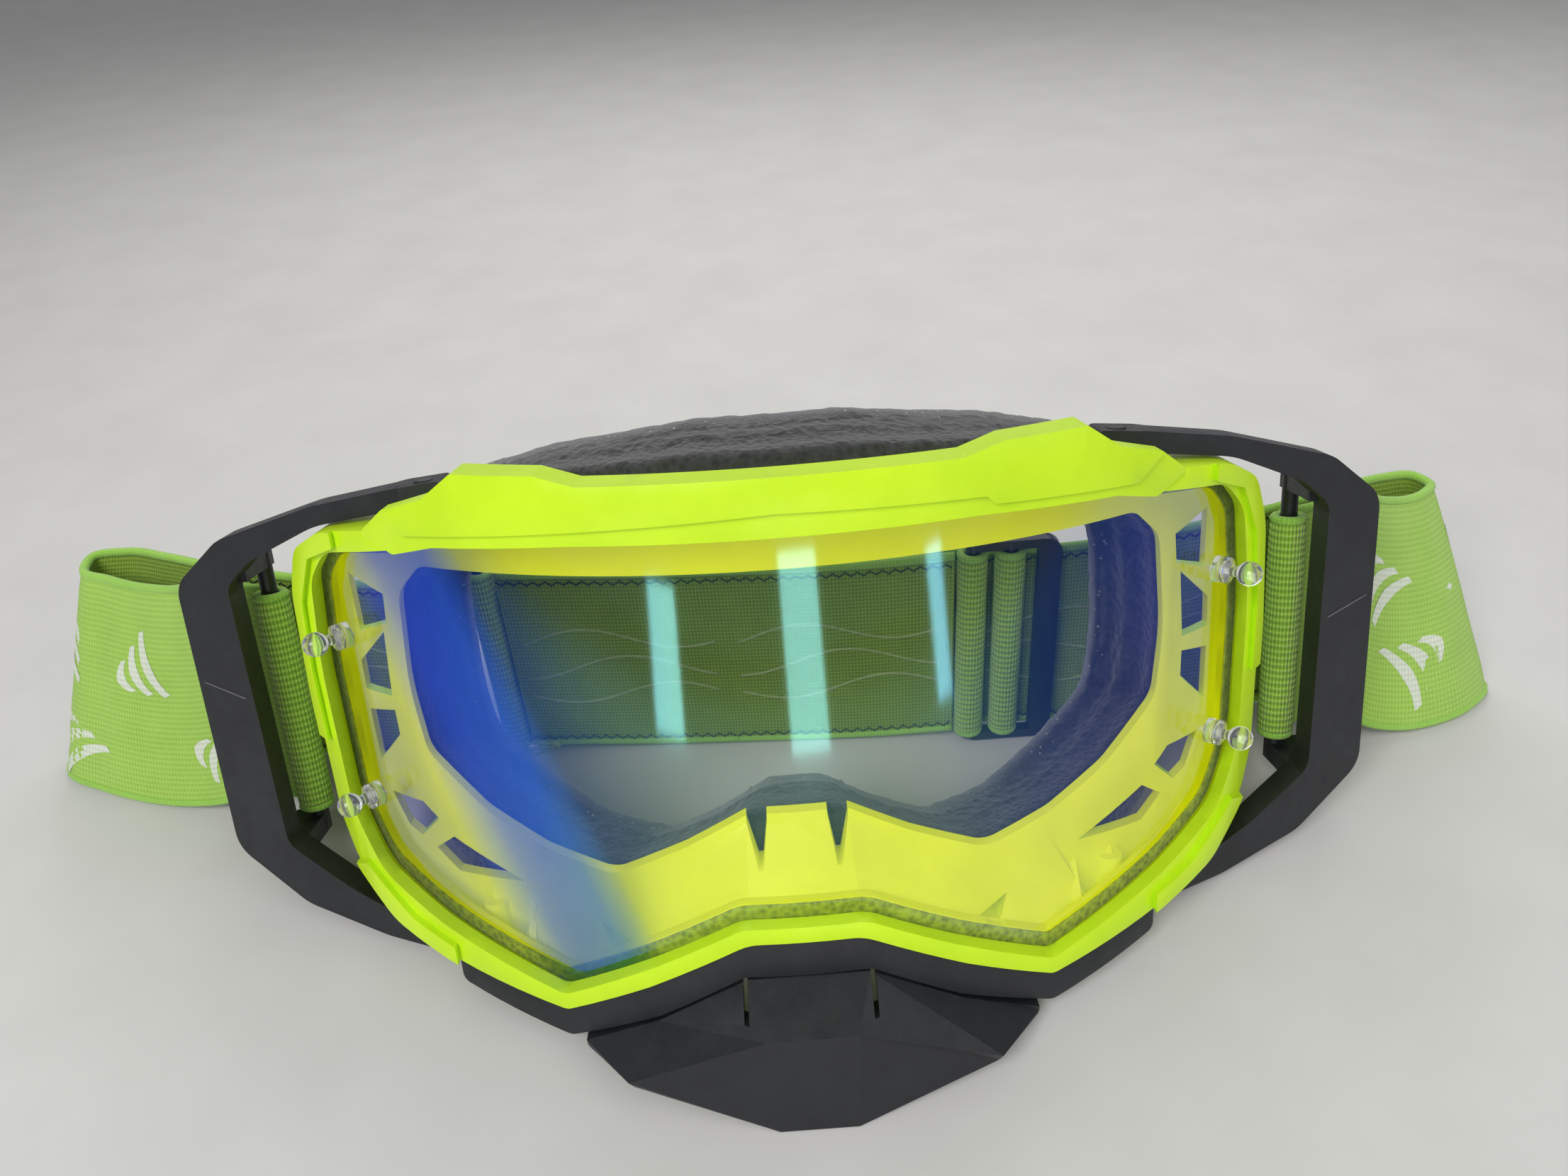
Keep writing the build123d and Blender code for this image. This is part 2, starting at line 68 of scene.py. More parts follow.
lens_low, lens_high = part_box("lens")
guard_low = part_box("nose_guard")[0]
TIP = Vector(((lens_low.x + lens_high.x) / 2, guard_low.y, guard_low.z))


def on_table(x, y, z):
    """A point given in mm from the nose guard's foot."""
    return TIP + Vector((x, y, z)) * MM


def on_eyepiece(x, y, z):
    """A point given in mm in the eyepiece's own upright frame."""
    back, up = y - TIP_Y, z - TIP_Z
    table_y = back * math.cos(LEAN) + up * math.sin(LEAN)
    table_z = up * math.cos(LEAN) - back * math.sin(LEAN)
    return on_table(x, table_y, table_z)


# ---- the camera ----------------------------------------------------------------------------
CAMERA_PLACE = (1.5, -90.3, 181.6)                   # mm from the nose guard's foot
CAMERA_YAW, CAMERA_PITCH, CAMERA_ROLL = 0.31, -38, 4.53   # degrees
SENSOR_WIDTH, FOCAL_LENGTH = 36, 26.04               # mm


def make_camera():
    data = bpy.data.cameras.new("camera")
    data.sensor_width = SENSOR_WIDTH
    data.lens = FOCAL_LENGTH
    data.clip_start = 5 * MM
    camera = bpy.data.objects.new("camera", data)
    bpy.context.scene.collection.objects.link(camera)
    turn = (Matrix.Rotation(math.radians(CAMERA_YAW), 3, "Z")
            @ Matrix.Rotation(math.radians(CAMERA_PITCH), 3, "X")
            @ Matrix.Rotation(math.radians(CAMERA_ROLL), 3, "Y"))
    right, forward, up = turn.col
    pose = Matrix((right, up, -forward)).transposed().to_4x4()
    pose.translation = on_table(*CAMERA_PLACE)
    camera.matrix_world = pose
    bpy.context.scene.camera = camera
    return camera


camera = make_camera()


# ---- materials --------------------------------------------------------------------------------
def grey(value):
    return (value, value, value)


class Shader:
    """A material's node tree with short calls for adding and joining nodes."""

    def __init__(self, name):
        self.material = bpy.data.materials.new(name)
        self.material.use_nodes = True
        self.tree = self.material.node_tree
        self.bsdf = self.tree.nodes["Principled BSDF"]

    def node(self, kind, **values):
        made = self.tree.nodes.new(kind)
        for key, value in values.items():
            if key in made.inputs:
                made.inputs[key].default_value = value
            else:
                setattr(made, key, value)
        return made

    def join(self, source, target):
        self.tree.links.new(source, target)

    def place(self, uv=False):
        """The object's own coordinates in metres, or mm along and across webbing."""
        coordinates = self.node("ShaderNodeTexCoord")
        return coordinates.outputs["UV" if uv else "Object"]

    def noise(self, vector, scale, detail=3.0, roughness=0.55):
        made = self.node("ShaderNodeTexNoise", Scale=scale, Detail=detail, Roughness=roughness)
        self.join(vector, made.inputs["Vector"])
        return made.outputs["Fac"]

    def ramp(self, factor, stops):
        made = self.node("ShaderNodeValToRGB")
        elements = made.color_ramp.elements
        while len(elements) < len(stops):
            elements.new(0.5)
        for element, (position, colour) in zip(elements, stops):
            element.position = position
            element.color = (*colour, 1.0)
        self.join(factor, made.inputs["Fac"])
        return made.outputs["Color"]

    def drive(self, socket, factor, stops):
        """Runs a factor through a ramp into one of the shader's own sockets."""
        self.join(self.ramp(factor, stops), self.bsdf.inputs[socket])

    def math(self, operation, a, b=0.0):
        made = self.node("ShaderNodeMath", operation=operation)
        for socket, value in zip(made.inputs, (a, b)):
            if isinstance(value, (int, float)):
                socket.default_value = value
            else:
                self.join(value, socket)
        return made.outputs[0]

    def bump(self, height, strength, distance):
        made = self.node("ShaderNodeBump", Strength=strength, Distance=distance)
        self.join(height, made.inputs["Height"])
        self.join(made.outputs["Normal"], self.bsdf.inputs["Normal"])

    def set(self, **values):
        for key, value in values.items():
            self.bsdf.inputs[key.replace("_", " ")].default_value = value


def moulded_yellow(name, dull, bright, painted_glow):
    """Fluorescent moulded plastic: fine grain, slight mottling, patches of duller gloss and a painted glow.
    """
    s = Shader(name)
    spot = s.place()
    mottle = s.noise(spot, 60, 4)
    s.drive("Base Color", mottle, [(0.35, dull), (0.65, bright)])
    scuffs = s.noise(spot, 420, 5, 0.7)
    s.drive("Roughness", scuffs, [(0.3, grey(0.30)), (0.8, grey(0.46))])
    s.bump(s.noise(spot, 2600, 2), 0.10, 0.00012)
    # Emission is a painted glow: the plastic shines a little on its own, though it is no lamp.
    s.set(Specular_IOR_Level=0.35, Emission_Color=(*bright, 1), Emission_Strength=painted_glow)
    return s.material


def matte_black(name="matte_black", grain=1900, roughness=0.48, colour=(0.008, 0.009, 0.012)):
    """Matte moulded nylon with a fine spark-eroded texture and faint rub marks."""
    s = Shader(name)
    spot = s.place()
    rub = s.noise(spot, 90, 5, 0.65)
    lighter = tuple(c * 1.7 for c in colour)
    s.drive("Base Color", rub, [(0.4, colour), (0.75, lighter)])
    rough = s.noise(spot, 300, 4)
    low, high = roughness - 0.07, roughness + 0.08
    s.drive("Roughness", rough, [(0.3, grey(low)), (0.7, grey(high))])
    s.bump(s.noise(spot, grain, 3), 0.22, 0.00012)
    s.set(Specular_IOR_Level=0.5)
    return s.material


# The lens's ramps: the share of each span, then the tint or how dense the coating is there. The densest
# stops of the coating's ramp are a painted reflection band.
LENS_TINTS = [(0.2, (0.22, 0.62, 0.58)), (0.5, (0.05, 0.22, 0.95)), (0.85, (0.02, 0.05, 1.0))]
COATING_AND_PAINTED_REFLECTION = [(0.04, 0.22), (0.13, 0.10), (0.185, 0.44), (0.25, 0.50), (0.29, 0.10), (0.36, 0.075),
                (0.80, 0.075), (0.96, 0.20)]
TINT_SPAN = 0.085            # metres outwards from the middle that the tint's ramp covers
COATING_AND_REFLECTION_SPAN = 0.18          # metres across the lens that the ramp of coating and painted reflection covers
REFLECTION_BAND_SLANT = 0.42            # how far the painted reflection band shifts sideways per metre upwards
LENS_MIDDLE = 0.054          # height of the lens's middle above the nose guard's foot, metres


def mirror_lens():
    """Clear polycarbonate with a mirror coating: teal in the middle, blue at the sides.

    A denser slanted band on the left is a painted bright blue reflection, fixed on the lens.
    """
    s = Shader("mirror_lens")
    apart = s.node("ShaderNodeSeparateXYZ")
    s.join(s.place(), apart.inputs[0])
    across = s.math("SUBTRACT", apart.outputs["X"], TIP.x)
    s.drive("Base Color", s.math("DIVIDE", s.math("ABSOLUTE", across), TINT_SPAN), LENS_TINTS)
    height = s.math("SUBTRACT", apart.outputs["Z"], TIP.z + LENS_MIDDLE)
    slanted = s.math("ADD", across, s.math("MULTIPLY", height, REFLECTION_BAND_SLANT))
    place = s.math("ADD", s.math("DIVIDE", slanted, COATING_AND_REFLECTION_SPAN), 0.5)
    # Alpha: the coating's density, with the painted reflection band on the left.
    s.drive("Alpha", place, [(stop, grey(density)) for stop, density in COATING_AND_PAINTED_REFLECTION])
    s.set(Metallic=1.0, Roughness=0.06)
    return s.material


def clear_plastic():
    s = Shader("clear_plastic")
    spot = s.place()
    s.drive("Roughness", s.noise(spot, 500, 2), [(0.3, grey(0.03)), (0.7, grey(0.10))])
    s.set(Base_Color=(0.96, 0.98, 0.97, 1), Transmission_Weight=0.94, IOR=1.46)
    return s.material


def open_foam(name, cell, colour, depth):
    """Reticulated foam: pits between struts, with painted shade in the pits and a little lighter on the
    crests.
    """
    s = Shader(name)
    spot = s.place()
    cells = s.node("ShaderNodeTexVoronoi", Scale=cell, feature="F1")
    s.join(spot, cells.inputs["Vector"])
    fuzz = s.noise(spot, cell * 2.2, 4, 0.7)
    pits = s.math("MULTIPLY", cells.outputs["Distance"], 0.8)
    height = s.math("ADD", pits, s.math("MULTIPLY", fuzz, 0.6))
    lighter = tuple(c * 3.2 for c in colour)
    # Painted shade: the colour darkens with the pits' depth, the same height that drives the bump.
    s.drive("Base Color", height, [(0.25, colour), (0.95, lighter)])
    s.bump(height, 0.9, depth)
    s.set(Roughness=0.92, Specular_IOR_Level=0.18, Sheen_Weight=0.25, Sheen_Roughness=0.6)
    return s.material


def fleece():
    """Brushed black fleece with pale specks of lint."""
    s = Shader("speckled_fleece")
    spot = s.place()
    nap = s.noise(spot, 1500, 5, 0.75)
    base = s.ramp(nap, [(0.3, (0.010, 0.010, 0.012)), (0.75, (0.035, 0.034, 0.038))])
    specks = s.node("ShaderNodeTexVoronoi", Scale=620.0, feature="F1")
    s.join(spot, specks.inputs["Vector"])
    mask = s.math("LESS_THAN", specks.outputs["Distance"], 0.13)
    mix = s.node("ShaderNodeMix", data_type="RGBA")
    s.join(mask, mix.inputs[0])
    s.join(base, mix.inputs[6])
    mix.inputs[7].default_value = (0.34, 0.31, 0.24, 1)
    s.join(mix.outputs[2], s.bsdf.inputs["Base Color"])
    s.bump(nap, 0.8, 0.0004)
    s.set(Roughness=0.95, Specular_IOR_Level=0.12, Sheen_Weight=0.5, Sheen_Roughness=0.5)
    return s.material


def webbing(name, bright, dark, rib, weave=0.3, sheen=0.3):
    """Knitted elastic: fine speckled knit, with faint rows across the width and ribs along it, and painted
    shade in their grooves.
    """
    s = Shader(name)
    spot = s.place(uv=True)
    apart = s.node("ShaderNodeSeparateXYZ")
    s.join(spot, apart.inputs[0])
    along, across = apart.outputs["X"], apart.outputs["Y"]
    courses = s.math("SINE", s.math("MULTIPLY", along, 2 * math.pi / 0.7))
    wales = s.math("SINE", s.math("MULTIPLY", across, 2 * math.pi / rib))
    rows = s.math("MULTIPLY", s.math("ADD", courses, wales), weave * 0.5)
    speckle = s.noise(spot, 3.6, 5, 0.75)
    height = s.math("ADD", rows, s.math("MULTIPLY", speckle, 1.4))
    patches = s.noise(spot, 0.10, 3)
    # Colour follows the knit's height: painted shade in the grooves of rows and ribs, over the yarn's own
    # speckle and random patches.
    groove_shade_and_tone = s.math("ADD", s.math("MULTIPLY", height, 0.55), s.math("MULTIPLY", patches, 0.25))
    s.drive("Base Color", groove_shade_and_tone, [(0.28, dark), (0.72, bright)])
    s.bump(height, 0.6, 0.0003)
    s.set(Roughness=0.86, Specular_IOR_Level=0.2, Sheen_Weight=sheen, Sheen_Roughness=0.4)
    return s.material


def thread(name, colour):
    s = Shader(name)
    spot = s.place()
    twist = s.noise(spot, 3500, 2)
    s.drive("Base Color", twist, [(0.3, tuple(c * 0.6 for c in colour)), (0.7, colour)])
    s.bump(twist, 0.6, 0.0001)
    s.set(Roughness=0.8)
    return s.material


def silicone():
    s = Shader("grip_silicone")
    mottle = s.noise(s.place(), 900, 3)
    s.drive("Base Color", mottle, [(0.3, (0.34, 0.44, 0.16)), (0.7, (0.44, 0.54, 0.24))])
    s.set(Roughness=0.3, Alpha=0.75)
    return s.material


YELLOW = moulded_yellow("moulded_yellow", (0.50, 0.75, 0.010), (0.56, 0.82, 0.014), 0.05)
# A lit copy of the yellow: painted light, yellower and brighter with more glow, for the faces behind the
# lens.
YELLOW_PAINTED_LIGHT = moulded_yellow("moulded_yellow_inside", (0.72, 0.76, 0.0), (0.80, 0.84, 0.002), 0.16)
BLACK = matte_black()
PIN_BLACK = matte_black("pin_black", 2600, 0.4, (0.02, 0.02, 0.021))
BUCKLE_BLACK = matte_black("buckle_black", 2300, 0.34, (0.010, 0.011, 0.013))
GASKET = open_foam("gasket_foam", 900, (0.16, 0.19, 0.01), 0.0002)
LENS = mirror_lens()
CLEAR = clear_plastic()
FOAM_FRONT = open_foam("foam_fine", 900, (0.012, 0.012, 0.013), 0.0004)
FOAM_BACK = open_foam("foam_coarse", 560, (0.010, 0.010, 0.011), 0.0007)
FLEECE = fleece()
OUTER = webbing("webbing_outer", (0.47, 0.72, 0.13), (0.27, 0.50, 0.06), 1.1)
INNER = webbing("webbing_inner", (0.30, 0.46, 0.06), (0.13, 0.22, 0.02), 0.9, 0.5, 0.2)
PIPING = webbing("webbing_piping", (0.44, 0.74, 0.13), (0.24, 0.52, 0.06), 0.6)
PRINT = webbing("webbing_print", (0.86, 0.90, 0.80), (0.56, 0.64, 0.46), 1.1)
RIBBED = webbing("webbing_ribbed", (0.46, 0.70, 0.12), (0.20, 0.40, 0.04), 1.3, 1.5)
THREAD_BLACK = thread("thread_black", (0.02, 0.025, 0.03))
THREAD_GREEN = thread("thread_green", (0.46, 0.66, 0.14))
GRIP = silicone()

CAD_LOOKS = {"main_frame": YELLOW, "brow_cover": YELLOW, "lens": LENS, "lens_gasket": GASKET,
             "lower_trim_band": BLACK, "nose_guard": BLACK, "outrigger_left": BLACK,
             "outrigger_right": BLACK, "strap_adjuster": BUCKLE_BLACK, "joining_ring": BUCKLE_BLACK}
BEVELS = {"main_frame": 0.35, "brow_cover": 0.45, "lower_trim_band": 0.7, "nose_guard": 0.35,
          "outrigger_left": 1.2, "outrigger_right": 1.2, "strap_adjuster": 0.5, "joining_ring": 0.4}
for name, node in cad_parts.items():
    look = CAD_LOOKS.get(name)
    if look is None:
        look = CLEAR if name.startswith("tear_off") else PIN_BLACK
    node.data.materials.clear()
    node.data.materials.append(look)


def paint_light_inside(node, look):
    """Gives the second look, a brighter and more glowing copy of the yellow that is painted light, to the
    faces behind the lens that face the front or the middle.
    """
    node.data.materials.append(look)
    middle = on_eyepiece(0, LENS_R, 0)
    forward = (on_eyepiece(0, -1, 0) - on_eyepiece(0, 0, 0)).normalized()
    up = (on_eyepiece(0, 0, 1) - on_eyepiece(0, 0, 0)).normalized()
    for face in node.data.polygons:
        reach = face.center - middle
        x, depth, height = reach.x, reach.dot(forward), reach.dot(up)
        outwards = face.normal.x * x + face.normal.dot(up) * height * 2
        seen_from_front = face.normal.dot(forward) > 0.3 or outwards < 2 * MM
        if math.hypot(x, depth) < LENS_R * MM - 1.2 * MM and seen_from_front:
            face.material_index = 1


def soften(node, width):
    """Rounds a moulded part's edges for the light to catch, without touching its mesh."""
    weld = node.modifiers.new("weld", "WELD")
    weld.merge_threshold = 0.00001
    bevel = node.modifiers.new("bevel", "BEVEL")
    bevel.width = width * MM
    bevel.segments = 3
    bevel.limit_method = "ANGLE"
    bevel.angle_limit = math.radians(32)
    bevel.harden_normals = True


paint_light_inside(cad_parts["main_frame"], YELLOW_PAINTED_LIGHT)
for name, width in BEVELS.items():
    soften(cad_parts[name], width)


# ---- meshes ----------------------------------------------------------------------------------
def new_object(name, vertices, faces, uvs=None, slots=None, materials=()):
    mesh = bpy.data.meshes.new(name)
    mesh.from_pydata([tuple(v) for v in vertices], [], faces)
    if uvs is not None:
        layer = mesh.uv_layers.new(name="UVMap")
        for loop in mesh.loops:
            layer.data[loop.index].uv = uvs[loop.vertex_index]
    for material in materials:
        mesh.materials.append(material)
    if slots is not None:
        mesh.polygons.foreach_set("material_index", slots)
    mesh.polygons.foreach_set("use_smooth", [True] * len(mesh.polygons))
    mesh.update()
    made = bpy.data.objects.new(name, mesh)
    bpy.context.scene.collection.objects.link(made)
    return made


def smooth_through(points, knots, at):
    """A smooth curve through points, at the given places between their knots."""
    points = np.array(points, float)
    slopes = np.gradient(points, knots, axis=0)
    found = []
    for t in at:
        i = min(max(int(np.searchsorted(knots, t)) - 1, 0), len(knots) - 2)
        span = knots[i + 1] - knots[i]
        f = (t - knots[i]) / span
        a, b = points[i], points[i + 1]
        da, db = slopes[i] * span, slopes[i + 1] * span
        found.append(a * (1 + f * f * (2 * f - 3)) + b * f * f * (3 - 2 * f)
                     + da * f * (1 - f) ** 2 + db * f * f * (f - 1))
    return np.array(found)


class Mesh:
    """Collects vertices, faces, webbing coordinates and material slots for one piece."""

    def __init__(self):
        self.vertices, self.faces, self.uvs, self.slots = [], [], [], []

    def grid(self, rows, uvs, slot, flip=False):
        start = len(self.vertices)
        count, width = len(rows), len(rows[0])
        self.vertices += [p for row in rows for p in row]
        self.uvs += [uv for row in uvs for uv in row]
        for i in range(count - 1):
            for j in range(width - 1):
                a = start + i * width + j
                quad = [a, a + 1, a + width + 1, a + width]
                self.faces.append(quad[::-1] if flip else quad)
                self.slots.append(slot)

    def tube(self, line, radius, slot, sides=8, closed_ends=True):
        """A round tube along a line of points."""
        line = np.array(line, float)
        start = len(self.vertices)
        directions = np.gradient(line, axis=0)
        length = 0.0
        for i, (centre, direction) in enumerate(zip(line, directions)):
            if i:
                length += float(np.linalg.norm(line[i] - line[i - 1]))
            direction = direction / max(np.linalg.norm(direction), 1e-12)
            side = np.cross(direction, (0.0, 0.0, 1.0))
            if np.linalg.norm(side) < 0.1:
                side = np.cross(direction, (0.0, 1.0, 0.0))
            side /= np.linalg.norm(side)
            up = np.cross(side, direction)
            for k in range(sides):
                angle = 2 * math.pi * k / sides
                out = side * (radius * math.cos(angle)) + up * (radius * math.sin(angle))
                self.vertices.append(centre + out)
                self.uvs.append((length / MM, k * 0.7))
        for i in range(len(line) - 1):
            for k in range(sides):
                a, b = start + i * sides + k, start + i * sides + (k + 1) % sides
                self.faces.append([a, b, b + sides, a + sides])
                self.slots.append(slot)
        if closed_ends:
            self.faces.append([start + k for k in reversed(range(sides))])
            self.faces.append([start + (len(line) - 1) * sides + k for k in range(sides)])
            self.slots += [slot, slot]

    def build(self, name, materials):
        return new_object(name, self.vertices, self.faces, self.uvs, self.slots, materials)


OUTER_SLOT, INNER_SLOT, PIPING_SLOT, PRINT_SLOT, STITCH_SLOT, GRIP_SLOT = range(6)
WEB_MATERIALS = (OUTER, INNER, PIPING, PRINT, THREAD_BLACK, GRIP)
ROLL_MATERIALS = (RIBBED, INNER, PIPING)


class Web:
    """A run of webbing: a smooth surface between a lower and an upper edge line."""

    def __init__(self, low, high, spacing=1.6, outer=1):
        middle = [(a + b) / 2 for a, b in zip(low, high)]
        knots = np.cumsum([0.0] + [float((b - a).length) for a, b in zip(middle, middle[1:])])
        self.length = float(knots[-1])
        self.places = np.linspace(0, self.length, max(int(self.length / (spacing * MM)), 8))
        self.low = smooth_through([tuple(p) for p in low], knots, self.places)
        self.high = smooth_through([tuple(p) for p in high], knots, self.places)
        along = np.gradient((self.low + self.high) / 2, axis=0)
        rise = self.high - self.low
        normal = np.cross(along, rise)
        self.normal = outer * normal / np.linalg.norm(normal, axis=1)[:, None]

    def at(self, i, v, out=0.0):
        """The point at station i, a share v of the way up, and out from the middle of the cloth."""
        return self.low[i] * (1 - v) + self.high[i] * v + self.normal[i] * out

    def point(self, s, v, out=0.0):
        """The same, at a length s along the run."""
        f = np.interp(s, self.places, np.arange(len(self.places)))
        i = min(int(f), len(self.places) - 2)
        return self.at(i, v, out) * (1 - f + i) + self.at(i + 1, v, out) * (f - i)


EDGE_INSET = 0.012                   # where the flat cloth stops inside its piped edges, as a share
STITCH_R, STITCH_PITCH = 0.16, 1.25  # mm
GRIP_R = 0.3                         # radius of a silicone line, mm
GRIP_LEVELS = (0.30, 0.46, 0.62)     # shares of the height that the silicone lines wave about


def web_piece(name, run, seed, marks=(), stitches=("low", "high"), grip=False):
    """One piece of webbing with piped edges, stitches, print and silicone lines."""
    mesh = Mesh()
    rng = random.Random(seed)
    rows = 13
    shares = [EDGE_INSET + (1 - 2 * EDGE_INSET) * j / (rows - 1) for j in range(rows)]
    half = WEB_THICK / 2
    for out, slot, flip in ((half, OUTER_SLOT, run_flip(run)), (-half, INNER_SLOT, not run_flip(run))):
        surface, uvs = [], []
        for i, s in enumerate(run.places):
            line = []
            for v in shares:
                pinch = 1 - 0.35 * math.exp(-((min(v, 1 - v) / 0.07) ** 2))
                ripple = 0.12 * MM * noise.noise(Vector((s * 90, v * 5, seed)))
                line.append(run.at(i, v, out * pinch + ripple))
            surface.append(line)
            uvs.append([(s / MM, v * WEB_MM) for v in shares])
        mesh.grid(surface, uvs, slot, flip)
    for v in (0.004, 0.996):
        mesh.tube([run.at(i, v) for i in range(len(run.places))], PIPING_R, PIPING_SLOT, 10)
    for edge in stitches:
        for out in (half + 0.1 * MM, -half - 0.1 * MM):
            zigzag, pitch = [], STITCH_PITCH * MM
            steps = int(run.length / pitch)
            for k in range(steps + 1):
                reach = 0.052 if k % 2 else 0.030
                v = reach if edge == "low" else 1 - reach
                zigzag.append(run.point(min(k * pitch, run.length), v + rng.uniform(-0.002, 0.002), out))
            mesh.tube(zigzag, STITCH_R * MM, STITCH_SLOT, 5)
    if grip:
        for level in GRIP_LEVELS:
            wave = []
            for s in np.arange(2 * MM, run.length - 2 * MM, 1.2 * MM):
                sway = level + 0.055 * math.sin(s / (6.5 * MM) + level * 9) + 0.03 * math.sin(s / (17 * MM))
                wave.append(run.point(s, sway, -half - 0.08 * MM))
            mesh.tube(wave, GRIP_R * MM, GRIP_SLOT, 6)
    for s, v, size, turn in marks:
        add_mark(mesh, run, s * MM, v, size, turn, half + 0.06 * MM)
    return mesh.build(name, WEB_MATERIALS)


def run_flip(run):
    """Whether a grid on the outer side has to be wound the other way to face outwards."""
    along = run.at(1, 0.5) - run.at(0, 0.5)
    rise = run.high[0] - run.low[0]
    return float(np.dot(np.cross(rise, along), run.normal[0])) < 0


def add_mark(mesh, run, s0, v0, size, turn, out):
    """A printed abstract mark: three nested chevrons of different lengths."""
    c, sn = math.cos(turn), math.sin(turn)
    for k, reach in enumerate((5.2, 3.9, 2.4)):
        for arm in (-1, 1):
            centre, across = [], []
            for f in np.linspace(0, 1, 7):
                x = (k * 3.1 - 3.0) - 1.7 * f * f
                y = arm * reach * f
                centre.append((x * size, y * size))
                across.append(0.95 * size * (1 - 0.35 * f))
            surface, uvs = [], []
            for (x, y), w in zip(centre, across):
                line, mapped = [], []
                for side in (-1, 0, 1):
                    a, b = x + side * w, y
                    s = s0 + (a * c - b * sn) * MM
                    v = v0 + (a * sn + b * c) / WEB_MM
                    line.append(run.point(s, v, out))
                    mapped.append((s / MM, v * WEB_MM))
                surface.append(line)
                uvs.append(mapped)
            mesh.grid(surface, uvs, PRINT_SLOT, arm > 0)


# The strap's route, in mm from the nose guard's foot: lower edge and upper edge at each station.
ROD_X, ROLL_LOW, ROLL_HIGH = 97, -27, 18   # the side arm's rod, and the ends of the roll on it
START_RISES = (7.6, 2.6, 0.3)              # the lower edge comes down to the table from the roll
EDGE_LOW, EDGE_HIGH = 0.9, 44.6            # middles of the piped edges above the lower edge


def flat_route(pairs, rises=()):
    """Edge points of a run that stands on the table, or above it by a station's own rise."""
    lows, highs = [], []
    for i, ((x, y), (u, w)) in enumerate(pairs):
        rise = rises[i] if i < len(rises) else 0.0
        lows.append(on_table(x, y, rise + EDGE_LOW))
        highs.append(on_table(u, w, rise + EDGE_HIGH))
    return lows, highs


def side_route(side, low, high):
    """A strap from its roll on the side arm, out along the table and round its fold."""
    lows, highs = flat_route(list(zip(low, high)), START_RISES)
    start = ((ROD_X, 53.1), (ROD_X + 7, 55.6))
    return ([on_eyepiece(side * x, y, ROLL_LOW) for x, y in start] + lows,
            [on_eyepiece(side * x, y, ROLL_HIGH) for x, y in start] + highs)


LEFT_LOW = [(-113.6, 76.6), (-122, 78.6), (-136, 81.4), (-153, 87.4), (-163.6, 93.6), (-164.6, 99.4),
            (-155, 102), (-138, 101.4), (-121, 98.4), (-112, 96)]
LEFT_HIGH = [(-113.6, 92), (-122, 96.8), (-132, 101.4), (-142, 106), (-148.6, 109.8), (-149, 114.6),
             (-142, 115.8), (-132, 112.6), (-119, 107.2), (-112, 104.8)]
LEFT_BACK = [((-112, 96), (-112, 104.8)), ((-106, 94.4), (-104, 102.2)), ((-90, 92), (-88, 97.6)),
             ((-72.6, 91.2), (-72.6, 95.2))]
RIGHT_LOW = [(113.6, 76.6), (122, 75.6), (133, 76.5), (146, 81), (152.6, 87), (150, 92.6), (139, 93.4),
             (122, 91), (116, 90.2)]
RIGHT_HIGH = [(113.6, 92), (122, 95.8), (129, 98.6), (134, 101), (136.6, 104), (134.8, 107.4),
              (128, 107.6), (115, 103.4), (110, 102)]
RIGHT_BACK = [((116, 90.2), (110, 102)), ((103, 88.6), (102, 99.6)), ((80, 87.4), (80, 94.6)),
              ((58, 87.8), (58, 91.8)), ((30, 89.6), (30, 93.6)), ((0, 91.6), (0, 95.6)),
              ((-18, 92.3), (-18, 96.3))]
RIGHT_TAIL = [((-18, 92.3), (-18, 96.3)), ((-30, 92.6), (-30, 96.6)), ((-45, 92.7), (-45, 96.7)),
              ((-57.4, 92.6), (-57.4, 96.6))]
RETURN_A = [((-57.4, 89.6), (-57.4, 93.5)), ((-45, 89.3), (-45, 93.2)), ((-30, 88.6), (-30, 92.5)),
            ((-12, 87.9), (-12, 91.8))]
RETURN_B = [((-12, 87.9), (-12, 91.8)), ((0, 87.3), (0, 91.2)), ((20, 85.8), (20, 89.7)),
            ((34.6, 84.4), (34.6, 88.3))]


# Printed marks: mm along the run, share of its height, size, and turn in radians.
LEFT_MARKS = [(28, 0.22, 1.3, 0.5), (46, 0.60, 1.35, -0.4), (66, 0.66, 1.2, 1.9), (63, 0.22, 1.3, 0.9),
              (90, 0.50, 1.2, -0.8)]
RIGHT_MARKS = [(27, 0.66, 1.3, 2.3), (38, 0.30, 1.4, 0.6), (55, 0.62, 1.2, -0.5), (74, 0.36, 1.2, 1.4)]

left_side = Web(*side_route(-1, LEFT_LOW, LEFT_HIGH), outer=-1)
right_side = Web(*side_route(1, RIGHT_LOW, RIGHT_HIGH), outer=1)
left_back = Web(*flat_route(LEFT_BACK), outer=-1)
right_back = Web(*flat_route(RIGHT_BACK), outer=1)
right_tail = Web(*flat_route(RIGHT_TAIL), outer=1)
return_a = Web(*flat_route(RETURN_A, (2.4, 1.6, 0.9, 0.4)), outer=-1)
return_b = Web(*flat_route(RETURN_B, (0.4, 0.2, 0.9, 2.4)), outer=-1)

